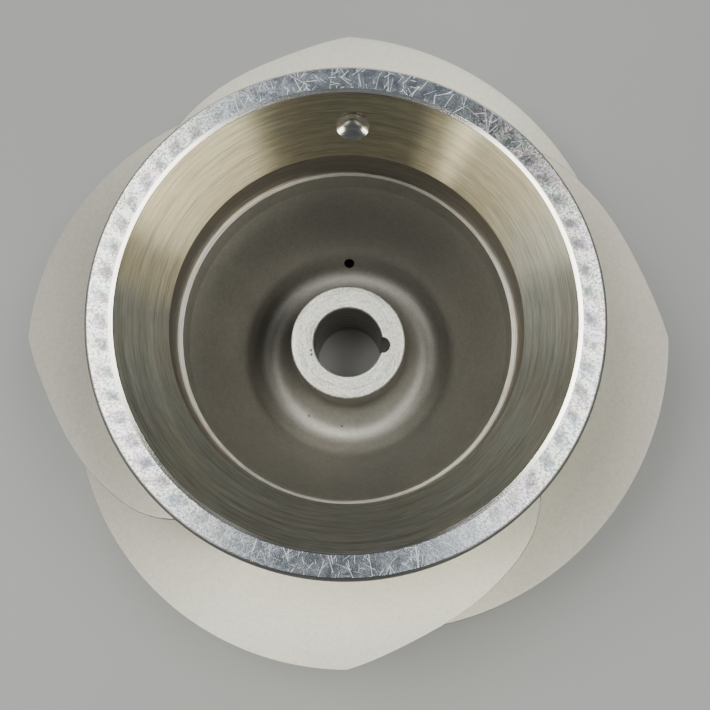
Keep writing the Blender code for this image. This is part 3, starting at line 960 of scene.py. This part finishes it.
def face_point(along, across):
    """A point on a blade's upper face with its outer corner on +X.

    along runs from the trailing edge to the leading edge, across from the root to the tip.
    """
    reach = TRAILING_EDGE_RADII[-1] - TRAILING_EDGE_RADII[0]
    spans = [(radius - TRAILING_EDGE_RADII[0]) / reach for radius in TRAILING_EDGE_RADII]
    edge_angle = smooth_value(spans, TRAILING_EDGE_ANGLES, across)
    edge_depth = smooth_value(spans, TRAILING_EDGE_DEPTHS, across)
    lead_angle = ROOT_END_ANGLE + (TIP_WRAP - ROOT_END_ANGLE) * across
    angle = math.radians(-(edge_angle + (lead_angle - edge_angle) * along))
    root_depth = TRAILING_EDGE_DEPTHS[0] + (ROOT_END_DEPTH - TRAILING_EDGE_DEPTHS[0]) * along
    straight_edge = TRAILING_EDGE_DEPTHS[0] * (1.0 - across) + TRAILING_EDGE_DEPTHS[-1] * across
    bow = (edge_depth - straight_edge) * (1.0 - along) ** 2
    depth = root_depth * (1.0 - across) + bezier(TIP_DEPTHS, along) * across + bow
    root_radius = hub_radius(RIM_Z - root_depth)
    radius = root_radius + (bezier(TIP_RADII, along) - root_radius) * across
    return Vector((radius * math.cos(angle), radius * math.sin(angle), RIM_Z - depth))


def blade_thickness(along, across):
    """Thickness: full in the middle of the chord and thin at the two edges."""
    full = ROOT_THICKNESS + (TIP_THICKNESS - ROOT_THICKNESS) * across
    edge = TRAILING_EDGE_THICKNESS + (LEADING_EDGE_THICKNESS - TRAILING_EDGE_THICKNESS) * along
    return edge + (full - edge) * (1.0 - abs(2.0 * along - 1.0) ** THICKNESS_FALL)


def directions(along, across):
    """Unit vectors at a point of the upper face: down the chord, out along the span, and up."""
    step = 0.002
    chord = face_point(min(along + step, 1.0), across) - face_point(max(along - step, 0.0), across)
    span = face_point(along, min(across + step, 1.0)) - face_point(along, max(across - step, 0.0))
    up = chord.cross(span).normalized()
    if up.z < 0.0:
        up.negate()
    return chord.normalized(), span.normalized(), up


def onto_skin(point, sink):
    """Move a point along its radius onto the hub's skin, or a little below it."""
    reach = (hub_radius(point.z) - sink) / point.xy.length
    return Vector((point.x * reach, point.y * reach, point.z))


def skin_normal(point):
    """The hub skin's outward normal at a point."""
    step = 0.0005
    lean = (hub_radius(point.z + step) - hub_radius(point.z - step)) / (2.0 * step)
    out = Vector((point.x, point.y, 0.0)).normalized()
    return Vector((out.x, out.y, -lean)).normalized()


def section_at(along, across, side, turn):
    """Where a blade's middle lies, which way the surface lies from it, and how far.

    side is 1.0 above and -1.0 below. turn is None on the faces, and goes up to a quarter turn at
    the very edge of the blade, forwards of the trailing edge or beyond the leading edge.
    """
    ahead = -1.0 if along < 0.5 else 1.0
    chord, span, up = directions(along, across)
    half = blade_thickness(along, across) / 2.0
    middle = face_point(along, across) - up * half
    if turn is None:
        return middle, up * side, half
    away = up * (side * math.cos(turn)) + chord * (ahead * math.sin(turn))
    return middle - chord * (ahead * half), away.normalized(), half


def root_fillet(along, side, turn, rise_share):
    """Points from inside the hub out to its skin, and round the fillet up onto the blade."""
    middle, away, half = section_at(along, 0.0, side, turn)
    root = onto_skin(middle + away * half, 0.0)
    normal = skin_normal(root)
    outward = (away - normal * away.dot(normal)).normalized()
    foot = onto_skin(root + outward * ROOT_FOOT, FILLET_SINK)
    points = [onto_skin(middle, MIDDLE_SINK), onto_skin(foot, FOOT_SINK)]
    middle, away, half = section_at(along, rise_share, side, turn)
    start = middle + away * half
    for step in range(FILLET_STEPS + 1):
        share = step / FILLET_STEPS
        points.append(foot * (1.0 - share) ** 2 + root * (2.0 * share * (1.0 - share))
                      + start * share ** 2)
    return points


def half_section(along, side, turn):
    """One side of a blade's section, from inside the hub out to the middle of the tip."""
    full_span = (face_point(along, 1.0) - face_point(along, 0.0)).length
    rise_share = ROOT_FILLET / full_span
    points = root_fillet(along, side, turn, rise_share)
    edge_round = min(TIP_EDGE_ROUND, blade_thickness(along, 1.0) * 0.4)
    last_share = 1.0 - edge_round / full_span
    for step in range(1, SPAN_STEPS + 1):
        across = rise_share + (last_share - rise_share) * step / SPAN_STEPS
        middle, away, half = section_at(along, across, side, turn)
        points.append(middle + away * half)
    middle, away, half = section_at(along, 1.0, side, turn)
    span = directions(along, 1.0)[1]
    for step in range(1, EDGE_STEPS + 1):
        bend = math.pi / 2.0 * step / EDGE_STEPS
        points.append(middle + span * (edge_round * (math.sin(bend) - 1.0))
                      + away * (half - edge_round + edge_round * math.cos(bend)))
    points.append(middle)
    return points


def blade_stations():
    """Chord stations: the rounded trailing edge, the faces, the rounded leading edge."""
    quarter = math.pi / 2.0
    face_chord = 1.0 - 2.0 * EDGE_ROUND_SHARE
    stations = [(0.0, quarter * (1.0 - step / EDGE_STEPS)) for step in range(EDGE_STEPS + 1)]
    stations += [(EDGE_ROUND_SHARE + face_chord * step / CHORD_STEPS, None)
                 for step in range(CHORD_STEPS + 1)]
    stations += [(1.0, quarter * step / EDGE_STEPS) for step in range(EDGE_STEPS + 1)]
    return stations


def paint_edges(blade, columns):
    """Give the trailing edge, past its root fillet, and the rounded tip the second material, a dark
    steel that paints shade along the blade edges.
    """
    middle = columns // 2
    for face in blade.data.polygons:
        row = min(index // columns for index in face.vertices)
        away = max(abs(index % columns - middle + 0.5) for index in face.vertices)
        past_fillet = away < middle - FILLET_STEPS - 2.0
        if away < EDGE_STEPS + 1.0 or (row < EDGE_STEPS and past_fillet):
            face.material_index = 1


def make_blade(name, start, face_steel, edge_steel_and_shade):
    """One blade: a grid draped round the blade's section from edge to edge, closed at its seams."""
    rows = []
    for along, turn in blade_stations():
        upper = half_section(along, 1.0, turn)
        lower = half_section(along, -1.0, turn)
        rows.append(upper + lower[::-1])
    columns = len(rows[0])
    deselect()
    bpy.ops.mesh.primitive_grid_add(x_subdivisions=columns - 1, y_subdivisions=len(rows) - 1,
                                    size=2.0)
    blade = bpy.context.object
    blade.name = name + "_finished"
    blade.data.materials.append(face_steel)
    blade.data.materials.append(edge_steel_and_shade)
    spin = Matrix.Rotation(math.radians(start), 3, "Z")
    for vertex in blade.data.vertices:
        column = round((vertex.co.x + 1.0) / 2.0 * (columns - 1))
        row = round((vertex.co.y + 1.0) / 2.0 * (len(rows) - 1))
        vertex.co = spin @ rows[row][column]
    paint_edges(blade, columns)
    edit(blade)
    bpy.ops.mesh.select_all(action="SELECT")
    bpy.ops.mesh.remove_doubles(threshold=MERGE * 5.0)
    bpy.ops.mesh.normals_make_consistent(inside=False)
    leave_edit()
    smooth(blade, BLADE_SMOOTH_ANGLE)
    dress(blade, name)


def place_camera():
    """The photograph's own viewpoint, above the rim and a little towards the viewer."""
    data = bpy.data.cameras.new("photo_camera")
    data.sensor_width = SENSOR_MM
    data.lens = FOCAL_PX / IMAGE_PX * SENSOR_MM
    camera = bpy.data.objects.new("photo_camera", data)
    bpy.context.scene.collection.objects.link(camera)
    back = CAMERA_RIGHT.cross(CAMERA_UP).normalized()
    turn = Matrix((CAMERA_RIGHT, CAMERA_UP, back)).transposed().to_4x4()
    camera.matrix_world = Matrix.Translation(Vector((0.0, 0.0, RIM_Z)) + CAMERA_FROM_RIM) @ turn
    bpy.context.scene.camera = camera


def place_floor():
    """A plain pale floor under the object."""
    deselect()
    bpy.ops.mesh.primitive_plane_add(size=FLOOR_SIZE)
    floor = bpy.context.object
    floor.name = "floor"
    material = bpy.data.materials.new("floor_paint")
    material.use_nodes = True
    shader = material.node_tree.nodes["Principled BSDF"]
    shader.inputs["Base Color"].default_value = FLOOR_COLOUR
    shader.inputs["Roughness"].default_value = FLOOR_ROUGHNESS
    floor.data.materials.append(material)


def softbox(name, centre, size, tilt, turn, glow, colour):
    """A rectangular studio light: tilt 0 shines straight down, 90 stands upright facing +Y."""
    data = bpy.data.lights.new(name, "AREA")
    data.shape = "RECTANGLE"
    data.size = size[0]
    data.size_y = size[1]
    data.energy = glow * math.pi * size[0] * size[1]
    data.color = colour
    lamp = bpy.data.objects.new(name, data)
    bpy.context.scene.collection.objects.link(lamp)
    lamp.location = centre
    lamp.rotation_euler = (math.radians(tilt), 0.0, math.radians(turn))
    lamp.visible_camera = False


def place_lights():
    """Three overhead softboxes, two low ones in front at the sides, and a dim grey room."""
    for name, settings in SOFTBOXES.items():
        softbox(name, *settings)
    world = bpy.data.worlds.new("studio")
    world.use_nodes = True
    background = world.node_tree.nodes["Background"]
    background.inputs["Color"].default_value = ROOM_COLOUR
    background.inputs["Strength"].default_value = 1.0
    bpy.context.scene.world = world


place_camera()
place_floor()
place_lights()
blade_steel = cast_finish("blasted_blade_steel", (0.95, 0.93, 0.81), (0.92, 0.90, 0.79),
                          roughness=0.52, metallic=0.12, grain=2200.0, depth=0.00004,
                          shade_by=blade_painted_light)
# The blade edges' dark turned steel paints shade along the edges, where blades overlap
tip_steel_and_edge_shade = turned_finish("turned_tip_steel_and_edge_shade", (0.30, 0.30, 0.29), roughness=0.36, brush=0.4)
# The boss wall's cast steel is darkened as painted shade
shaded_boss_wall_steel = cast_finish("shaded_boss_wall_steel", (0.28, 0.27, 0.23), (0.24, 0.23, 0.21),
                              roughness=0.44, metallic=0.8, grain=1500.0, depth=0.00005)
make_hub(blade_steel)
make_boss(shaded_boss_wall_steel)
for blade_name, blade_start in BLADE_STARTS.items():
    make_blade(blade_name, blade_start, blade_steel, tip_steel_and_edge_shade)
